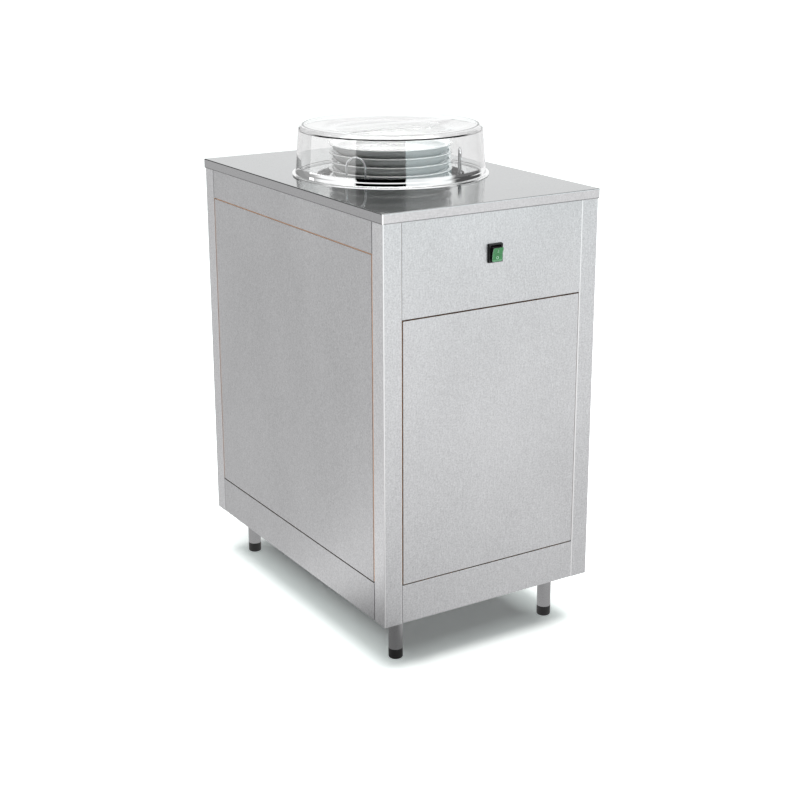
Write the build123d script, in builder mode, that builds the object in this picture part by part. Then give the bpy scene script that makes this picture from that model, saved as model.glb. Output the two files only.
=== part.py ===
from build123d import *
import math
import os

os.makedirs("parts", exist_ok=True)

# Heated plate dispenser cabinet. Millimetres, +Z up, the switch side faces -Y.
# The origin is the centre of the worktop's footprint, at floor level.

# Worktop
TOP_W = 460.0
TOP_D = 700.0
TOP_H = 850.0
TOP_EDGE = 18.0
TOP_SHEET = 1.5
TOP_BEND_R = 1.8
TOP_CORNER_R = 2.5
MOUTH_LIP = 3.0
COLLAR_DEPTH = 9.0
BOARD_HOLE_GAP = 6.0

# Carcass
OVERHANG = 2.0
BODY_Z0 = 96.0
POST = 37.0
POST_WALL = 1.5
POST_R = 2.0
SEAM = 0.3
RAIL_DEPTH = 30.0
RAIL_SHEET = 1.5
RAIL_BEND_R = 1.0
FASCIA_H = 170.0
BAND_H = 56.5
BASE_H = 74.0
FLOOR_SHEET = 1.5
FLOOR_LIP = 16.0

# Infill panels: a steel face bonded to a board
PANEL_GAP = 2.2
SKIN_T = 1.0
CORE_T = 16.0
CLIP_T = 2.0
CLIP_LEG = 14.0
CLIP_H = 30.0
CLIP_INSET_Z = 70.0

# Legs and adjustable feet
LEG_INSET = 57.0
LEG_D = 26.9
LEG_WALL = 2.0
LEG_PLATE = 70.0
LEG_PLATE_T = 4.0
LEG_PLATE_R = 6.0
LEG_BOLT_SPACING = 30.0
LEG_BOLT_D = 6.0
LEG_BOLT_HOLE = 6.4
BOLT_HEAD_AF = 10.0
BOLT_HEAD_H = 4.0
FOOT_H = 20.0
FOOT_EDGE_R = 3.0
STEM_D = 10.0
STEM_L = 45.0
INSERT_L = 30.0
RUN_FIT = 0.05

# Rocker switch
SWITCH_DROP = 74.0
BEZEL_W = 31.0
BEZEL_H = 34.5
BEZEL_T = 4.0
BEZEL_R = 2.0
BEZEL_TAPER = 12.0
HOUSING_W = 26.0
HOUSING_H = 32.6
HOUSING_DEPTH = 22.0
HOUSING_FIT = 0.2
ROCKER_W = 22.0
ROCKER_H = 25.6
ROCKER_CORNER_R = 3.0
ROCKER_GAP = 0.3
ROCKER_SWING_GAP = 1.6
ROCKER_CREST = 10.5
ROCKER_WAIST = 8.6
ROCKER_BACK = 6.0
ROCKER_TILT = 10.0
ROCKER_PIN_D = 3.0
ROCKER_PIN_L = 1.0
TAB_W = 6.3
TAB_T = 0.8
TAB_L = 9.0
SWITCH_TAB_PITCH_X = 11.5
SWITCH_TAB_PITCH_Z = 10.8

# Plate well: each gap is taken inwards from the side rails
RING_GAP = 8.0
RING_LIP = 1.0
RING_T = 2.0
INSULATION_T = 14.0
JACKET_SHEET = 1.0
ROD_GAP = 14.0
WELL_GAP = 16.0
WELL_SHEET = 1.2
WELL_RISE = 84.0
INSULATION_TOP_GAP = 6.0
BASE_T = 1.6
RING_SCREWS = 6
RING_SCREW_INSET = 7.5
SCREW_D = 4.0
SCREW_HEAD_D = 8.0
SCREW_HEAD_H = 2.4
SCREW_L = 14.0
SCREW_FIT = 0.1

# Wire guides round the plates
GUIDE_GAP = 11.5
GUIDE_WIRE_D = 4.0
GUIDE_SPACING = 40.0
GUIDE_RISE = 49.0
GUIDE_ANGLES = {"left": 210.0, "right": 330.0, "rear": 90.0}
BRACKET_H = 12.0
BRACKET_RISE = 100.0
BRACKET_DROP = 90.0
CONTACT_GAP = 0.3

# Spring-loaded carrier
ARM_ANGLES = (30.0, 150.0, 270.0)
CARRIER_FLOOR_GAP = 63.0
PLATFORM_INSET = 6.0
PLATFORM_T = 2.0
PLATFORM_RIM = 8.0
HUB_HOLE_R = 12.0
VENTS = 6
VENT_R = 8.5
VENT_WEB = 1.5
STAR_DROP = 170.0
STAR_T = 4.0
HUB_MARGIN = 15.0
ARM_W = 10.0
ARM_BAR_L = 64.0
ARM_BAR_W = 22.0
STRUT_D = 10.0
STRUT_INSET = 52.0
ROD_D = 8.0
SLOT_W = 14.0
SLOT_RUN = 8.0
BUSH_WALL = 5.0
BUSH_FLANGE_D = 21.0
BUSH_FLANGE_T = 2.0
BUSH_L = 28.0
SPRING_D = 10.0
SPRING_WIRE = 1.8
SPRING_SIDE_GAP = 22.0
SPRING_TURNS = 14
STOP_COLLAR_D = 16.0
STOP_COLLAR_H = 10.0

# Heater and electrics
HEATER_GAP = 49.0
HEATER_D = 8.5
HEATER_RISE = 25.0
HEATER_TAIL_ANGLE = 9.0
HEATER_TAIL_DROP = 24.0
HEATER_NUT_AF = 14.0
HEATER_NUT_H = 6.0
THERMOSTAT_D = 25.0
THERMOSTAT_H = 14.0
THERMOSTAT_Y = 50.0
THERMOSTAT_TAB_PITCH = 12.5
BLOCK_W = 50.0
BLOCK_D = 24.0
BLOCK_H = 20.0
BLOCK_POLES = 3
POLE_PITCH = 14.0
POLE_HOLE_D = 6.0
GLAND_INSET = 61.0
GLAND_RISE = 37.0
GLAND_BORE_D = 8.4
GLAND_THREAD_D = 16.0
GLAND_HEX_AF = 22.0
GLAND_HEX_H = 4.0
GLAND_DOME_H = 8.0
GLAND_DOME_D = 19.0
GLAND_TAIL = 12.0
GLAND_NUT_H = 4.0

# Plates
PLATES = 5
PLATE_GAP = 14.5
PLATE_PITCH = 16.0
PLATE_H = 33.0
PLATE_RIM_T = 3.8
PLATE_RIM_W = 5.0
PLATE_FOOT_INSET = 40.0
PLATE_FOOT_H = 8.0
PLATE_FOOT_W = 5.0
PLATE_FOOT_DRAFT = 1.0
PLATE_FLOOR = 7.0
PLATE_FLOOR_MARGIN = 5.0
PLATE_RIM_DRAFT = 1.0
PLATE_BELLY = (16.5, 13.9)
PLATE_BOWL = (20.0, 19.8)
TOP_PLATE_RISE = 60.0
NEST_GAP = 0.2

# Lid
LID_MARGIN = 41.3
LID_FLANGE_W = 5.7
LID_FLANGE_T = 2.5
LID_DRAFT = 7.3
LID_H = 94.0
LID_WALL = 3.0
LID_CORNER_R = 8.0
LID_FOOT_FILLET = 2.0
GRIP_BAR_W = 24.0
GRIP_DEPTH = 13.6
GRIP_RIM = 25.0
GRIP_SCOOP = 68.0
GRIP_FLOOR_FILLET = 2.0

# Derived places
BODY_W = TOP_W - 2 * OVERHANG
BODY_D = TOP_D - 2 * OVERHANG
BODY_Z1 = TOP_H - TOP_EDGE
FASCIA_Z0 = BODY_Z1 - FASCIA_H
BAND_Z0 = BODY_Z1 - BAND_H
BASE_Z1 = BODY_Z0 + BASE_H
POST_X = BODY_W / 2 - POST / 2
POST_Y = BODY_D / 2 - POST / 2
SPAN_X = BODY_W - 2 * POST
SPAN_Y = BODY_D - 2 * POST
LEG_X = TOP_W / 2 - LEG_INSET - OVERHANG
LEG_Y = TOP_D / 2 - LEG_INSET - OVERHANG
LEG_Z1 = BODY_Z0 - LEG_PLATE_T
SWITCH_Z = BODY_Z1 - SWITCH_DROP
GLAND_X = LEG_X - GLAND_INSET
GLAND_Z = BODY_Z0 + GLAND_RISE

# Derived radii, from the ring inwards
RING_R = BODY_W / 2 - RAIL_DEPTH - RING_GAP
RING_SCREW_R = RING_R - RING_SCREW_INSET
JACKET_R = RING_R - RING_LIP - INSULATION_T - JACKET_SHEET
ROD_R = JACKET_R - ROD_GAP
WELL_R = ROD_R - WELL_GAP
MOUTH_R = WELL_R - MOUTH_LIP
GUIDE_R = WELL_R - GUIDE_GAP
PLATE_R = GUIDE_R - PLATE_GAP
PLATE_FOOT_R = PLATE_R - PLATE_FOOT_INSET
PLATE_FLOOR_R = PLATE_FOOT_R + PLATE_FLOOR_MARGIN
PLATFORM_R = PLATE_R - PLATFORM_INSET
STRUT_R = PLATFORM_R - STRUT_INSET
STAR_HUB_R = STRUT_R + HUB_MARGIN
VENT_PCD_R = STRUT_R - STRUT_D / 2 - VENT_WEB - VENT_R
HEATER_R = WELL_R - HEATER_GAP
LID_BASE_R = MOUTH_R + LID_MARGIN
LID_SHOULDER_R = LID_BASE_R - LID_DRAFT
LID_FLANGE_R = LID_BASE_R + LID_FLANGE_W
GRIP_R = LID_SHOULDER_R - GRIP_RIM
GRIP_FLOOR_R = GRIP_R - GRIP_SCOOP

# Derived heights in the well
RING_Z0 = BODY_Z1 - RING_T
WELL_Z0 = BODY_Z0 + WELL_RISE
BRACKET_LOW = WELL_Z0 + BRACKET_RISE
BRACKET_HIGH = RING_Z0 - BRACKET_DROP
PLATFORM_Z = TOP_H + TOP_PLATE_RISE - PLATE_H - (PLATES - 1) * PLATE_PITCH
STAR_Z = PLATFORM_Z - STAR_DROP
CARRIER_TRAVEL = STAR_Z - WELL_Z0 - CARRIER_FLOOR_GAP
HEATER_Z = WELL_Z0 + HEATER_RISE
LID_Z1 = TOP_H + LID_H

CORNERS = {
    "front_left": (-1, -1),
    "front_right": (1, -1),
    "back_left": (-1, 1),
    "back_right": (1, 1),
}

# Each face plane has its local X along the face, seen from outside, and its local Y up.
FACES = {
    "front": Plane((0, -BODY_D / 2, 0), x_dir=(1, 0, 0), z_dir=(0, -1, 0)),
    "right": Plane((BODY_W / 2, 0, 0), x_dir=(0, 1, 0), z_dir=(1, 0, 0)),
    "back": Plane((0, BODY_D / 2, 0), x_dir=(-1, 0, 0), z_dir=(0, 1, 0)),
    "left": Plane((-BODY_W / 2, 0, 0), x_dir=(0, -1, 0), z_dir=(-1, 0, 0)),
}
SPANS = {"front": SPAN_X, "right": SPAN_Y, "back": SPAN_X, "left": SPAN_Y}


def save(part, name):
    part.label = name
    export_step(part, f"parts/{name}.step")


def radial_plane(angle, radius):
    """Upright plane at a radius of the well: local X runs round it, local Y is up, local Z points out."""
    c, s = math.cos(math.radians(angle)), math.sin(math.radians(angle))
    return Plane((radius * c, radius * s, 0), x_dir=(-s, c, 0), z_dir=(c, s, 0))


def polar(angle, radius, along=0.0):
    """A point at a radius and angle of the well, moved along the tangent."""
    c, s = math.cos(math.radians(angle)), math.sin(math.radians(angle))
    return (radius * c - along * s, radius * s + along * c)


# ---------------------------------------------------------------- worktop
with BuildPart() as worktop_skin:
    with BuildSketch(Plane.XY.offset(BODY_Z1)):
        RectangleRounded(TOP_W, TOP_D, TOP_CORNER_R)
    extrude(amount=TOP_EDGE)
    fillet(worktop_skin.faces().sort_by(Axis.Z)[-1].edges(), TOP_BEND_R)
    with BuildSketch(Plane.XY.offset(BODY_Z1)):
        RectangleRounded(TOP_W - 2 * TOP_SHEET, TOP_D - 2 * TOP_SHEET, TOP_CORNER_R - TOP_SHEET)
    extrude(amount=TOP_EDGE - TOP_SHEET, mode=Mode.SUBTRACT)
    with BuildSketch(Plane.XY.offset(TOP_H - COLLAR_DEPTH)):
        Circle(MOUTH_R + TOP_SHEET)
    extrude(amount=COLLAR_DEPTH - TOP_SHEET)
    with BuildSketch(Plane.XY.offset(TOP_H - COLLAR_DEPTH)):
        Circle(MOUTH_R)
    extrude(amount=COLLAR_DEPTH, mode=Mode.SUBTRACT)
    mouth = worktop_skin.edges().filter_by(GeomType.CIRCLE).group_by(Axis.Z)[-1]
    fillet(mouth.sort_by(SortBy.RADIUS)[-1], TOP_SHEET / 2)
save(worktop_skin.part, "worktop_skin")

with BuildPart() as worktop_board:
    with BuildSketch(Plane.XY.offset(BODY_Z1)):
        Rectangle(TOP_W - 2 * (TOP_SHEET + SEAM), TOP_D - 2 * (TOP_SHEET + SEAM))
        Circle(MOUTH_R + TOP_SHEET + BOARD_HOLE_GAP, mode=Mode.SUBTRACT)
    extrude(amount=TOP_EDGE - TOP_SHEET)
    with BuildSketch(Plane.XY.offset(BODY_Z1)):
        with PolarLocations(RING_SCREW_R, RING_SCREWS):
            Circle(SCREW_D / 2 + RUN_FIT)
    extrude(amount=SCREW_L, mode=Mode.SUBTRACT)
save(worktop_board.part, "worktop_board")


# ---------------------------------------------------------------- carcass
def make_post(sx, sy):
    with BuildPart() as post:
        with BuildSketch(Plane.XY.offset(BODY_Z0)):
            with Locations((sx * POST_X, sy * POST_Y)):
                RectangleRounded(POST, POST, POST_R)
                Rectangle(POST - 2 * POST_WALL, POST - 2 * POST_WALL, mode=Mode.SUBTRACT)
        extrude(amount=BODY_Z1 - BODY_Z0)
    return post.part


def make_rail(face, z_low, z_high, low_flange=True):
    """Folded channel between two posts: a web in the face, a flange at the top and maybe one below."""
    plane = FACES[face]
    span = SPANS[face] - 2 * SEAM
    hollow_low = z_low + (RAIL_SHEET if low_flange else 0.0)
    with BuildPart() as rail:
        with BuildSketch(plane):
            with Locations((0, (z_low + z_high) / 2)):
                Rectangle(span, z_high - z_low)
        extrude(amount=-RAIL_DEPTH)
        outside = rail.faces().sort_by(Axis(plane.origin, plane.z_dir))[-1]
        fillet(outside.edges().filter_by(Axis(plane.origin, plane.x_dir)), RAIL_BEND_R)
        with BuildSketch(plane.offset(-RAIL_SHEET)):
            with Locations((0, (hollow_low + z_high - RAIL_SHEET) / 2)):
                Rectangle(span, z_high - RAIL_SHEET - hollow_low)
        extrude(amount=-(RAIL_DEPTH - RAIL_SHEET), mode=Mode.SUBTRACT)
    return rail.part


for corner, (sx, sy) in CORNERS.items():
    save(make_post(sx, sy), f"post_{corner}")

for face in ("left", "right", "back"):
    save(make_rail(face, BAND_Z0, BODY_Z1), f"top_rail_{face}")

for face in ("front", "left", "right"):
    save(make_rail(face, BODY_Z0, BASE_Z1, low_flange=False), f"base_rail_{face}")

with BuildPart() as base_rail_back:
    add(make_rail("back", BODY_Z0, BASE_Z1, low_flange=False))
    with BuildSketch(FACES["back"]):
        with Locations((-GLAND_X, GLAND_Z)):
            Circle(GLAND_THREAD_D / 2 + RUN_FIT)
    extrude(amount=-RAIL_SHEET, mode=Mode.SUBTRACT)
save(base_rail_back.part, "base_rail_back")

with BuildPart() as control_fascia:
    add(make_rail("front", FASCIA_Z0, BODY_Z1))
    with BuildSketch(FACES["front"]):
        with Locations((0, SWITCH_Z)):
            Rectangle(HOUSING_W + 2 * HOUSING_FIT, HOUSING_H + 2 * HOUSING_FIT)
    extrude(amount=-RAIL_SHEET, mode=Mode.SUBTRACT)
save(control_fascia.part, "control_fascia")

FLOOR_W = BODY_W - 2 * (RAIL_SHEET + SEAM)
FLOOR_D = BODY_D - 2 * (RAIL_SHEET + SEAM)
POST_NOTCH = 2 * (POST + SEAM)
LEG_POINTS = [(sx * LEG_X, sy * LEG_Y) for sx, sy in CORNERS.values()]
with BuildPart() as floor_pan:
    with BuildSketch(Plane.XY.offset(BODY_Z0)):
        Rectangle(FLOOR_W, FLOOR_D)
    extrude(amount=FLOOR_LIP)
    with BuildSketch(Plane.XY.offset(BODY_Z0 + FLOOR_SHEET)):
        Rectangle(FLOOR_W - 2 * FLOOR_SHEET, FLOOR_D - 2 * FLOOR_SHEET)
    extrude(amount=FLOOR_LIP, mode=Mode.SUBTRACT)
    with BuildSketch(Plane.XY.offset(BODY_Z0)):
        with Locations(*[(sx * BODY_W / 2, sy * BODY_D / 2) for sx, sy in CORNERS.values()]):
            Rectangle(POST_NOTCH, POST_NOTCH)
    extrude(amount=FLOOR_LIP, mode=Mode.SUBTRACT)
    with BuildSketch(Plane.XY.offset(BODY_Z0)):
        with Locations(*LEG_POINTS):
            with GridLocations(LEG_BOLT_SPACING, LEG_BOLT_SPACING, 2, 2):
                Circle(LEG_BOLT_HOLE / 2)
    extrude(amount=FLOOR_SHEET, mode=Mode.SUBTRACT)
save(floor_pan.part, "floor_pan")


# ---------------------------------------------------------------- infill panels
PANEL_Z0 = BASE_Z1 + PANEL_GAP
PANEL_TOPS = {
    "front": FASCIA_Z0 - PANEL_GAP,
    "right": BAND_Z0 - PANEL_GAP,
    "back": BAND_Z0 - PANEL_GAP,
    "left": BAND_Z0 - PANEL_GAP,
}


def make_sheet(face, depth, thickness):
    """A flat board in a face's window, its outer side at a depth below the face."""
    width = SPANS[face] - 2 * PANEL_GAP
    height = PANEL_TOPS[face] - PANEL_Z0
    with BuildPart() as sheet:
        with BuildSketch(FACES[face].offset(-depth)):
            with Locations((0, PANEL_Z0 + height / 2)):
                Rectangle(width, height)
        extrude(amount=-thickness)
    return sheet.part


for face in FACES:
    save(make_sheet(face, 0.0, SKIN_T), f"infill_face_{face}")
    save(make_sheet(face, SKIN_T, CORE_T), f"infill_board_{face}")

with BuildPart() as panel_clips:
    for face, plane in FACES.items():
        back = plane.offset(-(SKIN_T + CORE_T))
        edge = SPANS[face] / 2
        heights = (PANEL_Z0 + CLIP_INSET_Z, PANEL_TOPS[face] - CLIP_INSET_Z)
        for side in (-1, 1):
            for height in heights:
                with BuildSketch(back):
                    with Locations((side * (edge - CLIP_LEG / 2), height)):
                        Rectangle(CLIP_LEG, CLIP_H)
                extrude(amount=-CLIP_T)
                with BuildSketch(back):
                    with Locations((side * (edge - CLIP_T / 2), height)):
                        Rectangle(CLIP_T, CLIP_H)
                extrude(amount=-CLIP_LEG)
save(panel_clips.part, "panel_clips")


# ---------------------------------------------------------------- legs and feet
def make_leg(x, y):
    with BuildPart() as leg:
        with BuildSketch(Plane.XY.offset(FOOT_H)):
            with Locations((x, y)):
                Circle(LEG_D / 2)
                Circle(LEG_D / 2 - LEG_WALL, mode=Mode.SUBTRACT)
        extrude(amount=LEG_Z1 - FOOT_H)
        with BuildSketch(Plane.XY.offset(LEG_Z1)):
            with Locations((x, y)):
                RectangleRounded(LEG_PLATE, LEG_PLATE, LEG_PLATE_R)
                with GridLocations(LEG_BOLT_SPACING, LEG_BOLT_SPACING, 2, 2):
                    Circle(LEG_BOLT_HOLE / 2, mode=Mode.SUBTRACT)
        extrude(amount=LEG_PLATE_T)
    return leg.part


def make_foot(x, y):
    with BuildPart() as foot:
        with BuildSketch(Plane.XY):
            with Locations((x, y)):
                Circle(LEG_D / 2)
        extrude(amount=FOOT_H)
        fillet(foot.faces().sort_by(Axis.Z)[0].edges(), FOOT_EDGE_R)
        with BuildSketch(Plane.XY.offset(FOOT_H)):
            with Locations((x, y)):
                Circle(STEM_D / 2)
        extrude(amount=STEM_L)
    return foot.part


for corner, (sx, sy) in CORNERS.items():
    save(make_leg(sx * LEG_X, sy * LEG_Y), f"leg_{corner}")
    save(make_foot(sx * LEG_X, sy * LEG_Y), f"foot_{corner}")

with BuildPart() as leg_inserts:
    with BuildSketch(Plane.XY.offset(FOOT_H)):
        with Locations(*LEG_POINTS):
            Circle(LEG_D / 2 - LEG_WALL - RUN_FIT)
            Circle(STEM_D / 2 + RUN_FIT, mode=Mode.SUBTRACT)
    extrude(amount=INSERT_L)
save(leg_inserts.part, "leg_inserts")

with BuildPart() as leg_bolts:
    with BuildSketch(Plane.XY.offset(BODY_Z0 + FLOOR_SHEET)):
        with Locations(*LEG_POINTS):
            with GridLocations(LEG_BOLT_SPACING, LEG_BOLT_SPACING, 2, 2):
                RegularPolygon(BOLT_HEAD_AF / 2, 6, major_radius=False)
    extrude(amount=BOLT_HEAD_H)
    with BuildSketch(Plane.XY.offset(LEG_Z1)):
        with Locations(*LEG_POINTS):
            with GridLocations(LEG_BOLT_SPACING, LEG_BOLT_SPACING, 2, 2):
                Circle(LEG_BOLT_D / 2)
    extrude(amount=LEG_PLATE_T + FLOOR_SHEET)
save(leg_bolts.part, "leg_bolts")


# ---------------------------------------------------------------- rocker switch
ROCKER_MOUTH_W = ROCKER_W + 2 * ROCKER_GAP
ROCKER_MOUTH_H = ROCKER_H + 2 * ROCKER_SWING_GAP
ROCKER_WELL = ROCKER_BACK + ROCKER_H / 2 * math.sin(math.radians(ROCKER_TILT)) + ROCKER_SWING_GAP
FRONT = FACES["front"]
with BuildPart() as switch_housing:
    with BuildSketch(FRONT):
        with Locations((0, SWITCH_Z)):
            RectangleRounded(BEZEL_W, BEZEL_H, BEZEL_R)
    extrude(amount=BEZEL_T, taper=BEZEL_TAPER)
    with BuildSketch(FRONT):
        with Locations((0, SWITCH_Z)):
            Rectangle(HOUSING_W, HOUSING_H)
    extrude(amount=-HOUSING_DEPTH)
    with BuildSketch(FRONT.offset(BEZEL_T)):
        with Locations((0, SWITCH_Z)):
            Rectangle(ROCKER_MOUTH_W, ROCKER_MOUTH_H)
    extrude(amount=-(BEZEL_T + ROCKER_WELL), mode=Mode.SUBTRACT)
    with BuildSketch(Plane.YZ):
        with Locations((-BODY_D / 2, SWITCH_Z)):
            Circle(ROCKER_PIN_D / 2 + RUN_FIT)
    extrude(amount=ROCKER_W / 2 + ROCKER_PIN_L + RUN_FIT, both=True, mode=Mode.SUBTRACT)
    with BuildSketch(FRONT.offset(-HOUSING_DEPTH)):
        with Locations((0, SWITCH_Z)):
            with GridLocations(SWITCH_TAB_PITCH_X, SWITCH_TAB_PITCH_Z, 2, 3):
                Rectangle(TAB_T, TAB_W)
    extrude(amount=-TAB_L)
save(switch_housing.part, "switch_housing")

# The rocker is drawn level and then tipped so that its upper end stands out.
ROCKER_OUT = (0, -math.cos(math.radians(ROCKER_TILT)), -math.sin(math.radians(ROCKER_TILT)))
ROCKER_PLANE = Plane((0, -BODY_D / 2, SWITCH_Z), x_dir=ROCKER_OUT, z_dir=(-1, 0, 0))
ROCKER_FACE = Plane((0, -BODY_D / 2, SWITCH_Z), x_dir=(1, 0, 0), z_dir=ROCKER_OUT)
with BuildPart() as switch_rocker:
    with BuildSketch(ROCKER_PLANE):
        with BuildLine():
            Polyline(
                (-ROCKER_BACK, -ROCKER_H / 2),
                (ROCKER_CREST, -ROCKER_H / 2),
                (ROCKER_WAIST, 0),
                (ROCKER_CREST, ROCKER_H / 2),
                (-ROCKER_BACK, ROCKER_H / 2),
                close=True,
            )
        make_face()
    extrude(amount=ROCKER_W / 2, both=True)
    with BuildSketch(ROCKER_FACE):
        RectangleRounded(ROCKER_W, ROCKER_H, ROCKER_CORNER_R)
    extrude(amount=ROCKER_CREST, both=True, mode=Mode.INTERSECT)
    with BuildSketch(Plane.YZ):
        with Locations((-BODY_D / 2, SWITCH_Z)):
            Circle(ROCKER_PIN_D / 2)
    extrude(amount=ROCKER_W / 2 + ROCKER_PIN_L, both=True)
save(switch_rocker.part, "switch_rocker")


# ---------------------------------------------------------------- plate well
RING_HOLE_R = SCREW_D / 2 + SCREW_FIT
with BuildPart() as well_ring:
    with BuildSketch(Plane.XY.offset(RING_Z0)):
        Circle(RING_R)
        Circle(WELL_R, mode=Mode.SUBTRACT)
        with PolarLocations(RING_SCREW_R, RING_SCREWS):
            Circle(RING_HOLE_R, mode=Mode.SUBTRACT)
    extrude(amount=RING_T)
save(well_ring.part, "well_ring")

with BuildPart() as ring_screws:
    with BuildSketch(Plane.XY.offset(RING_Z0 - SCREW_HEAD_H)):
        with PolarLocations(RING_SCREW_R, RING_SCREWS):
            Circle(SCREW_HEAD_D / 2)
    extrude(amount=SCREW_HEAD_H)
    with BuildSketch(Plane.XY.offset(RING_Z0)):
        with PolarLocations(RING_SCREW_R, RING_SCREWS):
            Circle(SCREW_D / 2)
    extrude(amount=SCREW_L)
save(ring_screws.part, "ring_screws")

SLOT_Z0 = STAR_Z - CARRIER_TRAVEL - SLOT_RUN
SLOT_Z1 = STAR_Z + STAR_T + SLOT_RUN
with BuildPart() as well_tube:
    with BuildSketch(Plane.XY.offset(WELL_Z0)):
        Circle(WELL_R + WELL_SHEET)
        Circle(WELL_R, mode=Mode.SUBTRACT)
    extrude(amount=RING_Z0 - WELL_Z0)
    for angle in ARM_ANGLES:
        with BuildSketch(radial_plane(angle, WELL_R - WELL_SHEET)):
            with Locations((0, (SLOT_Z0 + SLOT_Z1) / 2)):
                Rectangle(SLOT_W, SLOT_Z1 - SLOT_Z0)
        extrude(amount=3 * WELL_SHEET, mode=Mode.SUBTRACT)
save(well_tube.part, "well_tube")

with BuildPart() as well_insulation:
    with BuildSketch(Plane.XY.offset(WELL_Z0)):
        Circle(JACKET_R + JACKET_SHEET + INSULATION_T)
        Circle(JACKET_R + JACKET_SHEET, mode=Mode.SUBTRACT)
    extrude(amount=RING_Z0 - WELL_Z0 - INSULATION_TOP_GAP)
save(well_insulation.part, "well_insulation")

HEATER_TAILS = [polar(270.0 + side * HEATER_TAIL_ANGLE, HEATER_R) for side in (-1, 1)]
with BuildPart() as well_can:
    with BuildSketch(Plane.XY.offset(WELL_Z0)):
        Circle(JACKET_R + JACKET_SHEET)
        Circle(JACKET_R, mode=Mode.SUBTRACT)
    extrude(amount=RING_Z0 - WELL_Z0)
    with BuildSketch(Plane.XY.offset(WELL_Z0 - BASE_T)):
        Circle(JACKET_R + JACKET_SHEET + INSULATION_T)
        with Locations(*HEATER_TAILS):
            Circle(HEATER_D / 2 + RUN_FIT, mode=Mode.SUBTRACT)
    extrude(amount=BASE_T)
save(well_can.part, "well_can")

# A collar on each rod stops the carrier at the top of its travel.
ROD_POINTS = [polar(angle, ROD_R) for angle in ARM_ANGLES]
with BuildPart() as guide_rods:
    with BuildSketch(Plane.XY.offset(WELL_Z0)):
        with Locations(*ROD_POINTS):
            Circle(ROD_D / 2)
    extrude(amount=RING_Z0 - WELL_Z0)
    with BuildSketch(Plane.XY.offset(STAR_Z - BUSH_FLANGE_T + BUSH_L)):
        with Locations(*ROD_POINTS):
            Circle(STOP_COLLAR_D / 2)
    extrude(amount=STOP_COLLAR_H)
save(guide_rods.part, "guide_rods")


# ---------------------------------------------------------------- wire guides
ARCH_Z = TOP_H + GUIDE_RISE - GUIDE_WIRE_D / 2 - GUIDE_SPACING / 2


def make_wire_guide(angle):
    plane = radial_plane(angle, GUIDE_R)
    half = GUIDE_SPACING / 2
    with BuildPart() as guide:
        with BuildLine(plane):
            Line((-half, WELL_Z0), (-half, ARCH_Z))
            CenterArc((0, ARCH_Z), half, 180, -180)
            Line((half, ARCH_Z), (half, WELL_Z0))
        with BuildSketch(Plane.XY.offset(WELL_Z0)):
            with Locations(polar(angle, GUIDE_R, -half)):
                Circle(GUIDE_WIRE_D / 2)
        sweep()
    return guide.part


for side, angle in GUIDE_ANGLES.items():
    save(make_wire_guide(angle), f"wire_guide_{side}")

BRACKET_HALF = GUIDE_SPACING / 2 + GUIDE_WIRE_D
BRACKET_R0 = GUIDE_R + GUIDE_WIRE_D / 2 + CONTACT_GAP
BRACKET_R1 = math.sqrt(WELL_R**2 - BRACKET_HALF**2) - CONTACT_GAP
with BuildPart() as guide_brackets:
    for angle in GUIDE_ANGLES.values():
        for height in (BRACKET_LOW, BRACKET_HIGH):
            with BuildSketch(radial_plane(angle, BRACKET_R0)):
                with Locations((0, height)):
                    Rectangle(2 * BRACKET_HALF, BRACKET_H)
            extrude(amount=BRACKET_R1 - BRACKET_R0)
save(guide_brackets.part, "guide_brackets")


# ---------------------------------------------------------------- carrier
with BuildPart() as carrier_platform:
    with BuildSketch(Plane.XY.offset(PLATFORM_Z - PLATFORM_RIM)):
        Circle(PLATFORM_R)
    extrude(amount=PLATFORM_RIM)
    fillet(carrier_platform.faces().sort_by(Axis.Z)[-1].edges(), PLATFORM_T)
    with BuildSketch(Plane.XY.offset(PLATFORM_Z - PLATFORM_RIM)):
        Circle(PLATFORM_R - PLATFORM_T)
    extrude(amount=PLATFORM_RIM - PLATFORM_T, mode=Mode.SUBTRACT)
    with BuildSketch(Plane.XY.offset(PLATFORM_Z)):
        Circle(HUB_HOLE_R)
        with PolarLocations(VENT_PCD_R, VENTS):
            Circle(VENT_R)
    extrude(amount=-PLATFORM_T, mode=Mode.SUBTRACT)
save(carrier_platform.part, "carrier_platform")

with BuildPart() as carrier_frame:
    with BuildSketch(Plane.XY.offset(STAR_Z)):
        Circle(STAR_HUB_R)
        for angle in ARM_ANGLES:
            with Locations(Location(polar(angle, (STRUT_R + ROD_R) / 2) + (0,), angle)):
                Rectangle(ROD_R - STRUT_R, ARM_W)
            with Locations(Location(polar(angle, ROD_R) + (0,), angle)):
                Rectangle(ARM_BAR_W, ARM_BAR_L)
        with Locations(*ROD_POINTS):
            Circle(ROD_D / 2 + BUSH_WALL + RUN_FIT, mode=Mode.SUBTRACT)
        Circle(STRUT_R - STRUT_D, mode=Mode.SUBTRACT)
    extrude(amount=STAR_T)
    with BuildSketch(Plane.XY.offset(STAR_Z + STAR_T)):
        with Locations(*[polar(angle, STRUT_R) for angle in ARM_ANGLES]):
            Circle(STRUT_D / 2)
    extrude(amount=PLATFORM_Z - PLATFORM_T - STAR_Z - STAR_T)
save(carrier_frame.part, "carrier_frame")

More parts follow.
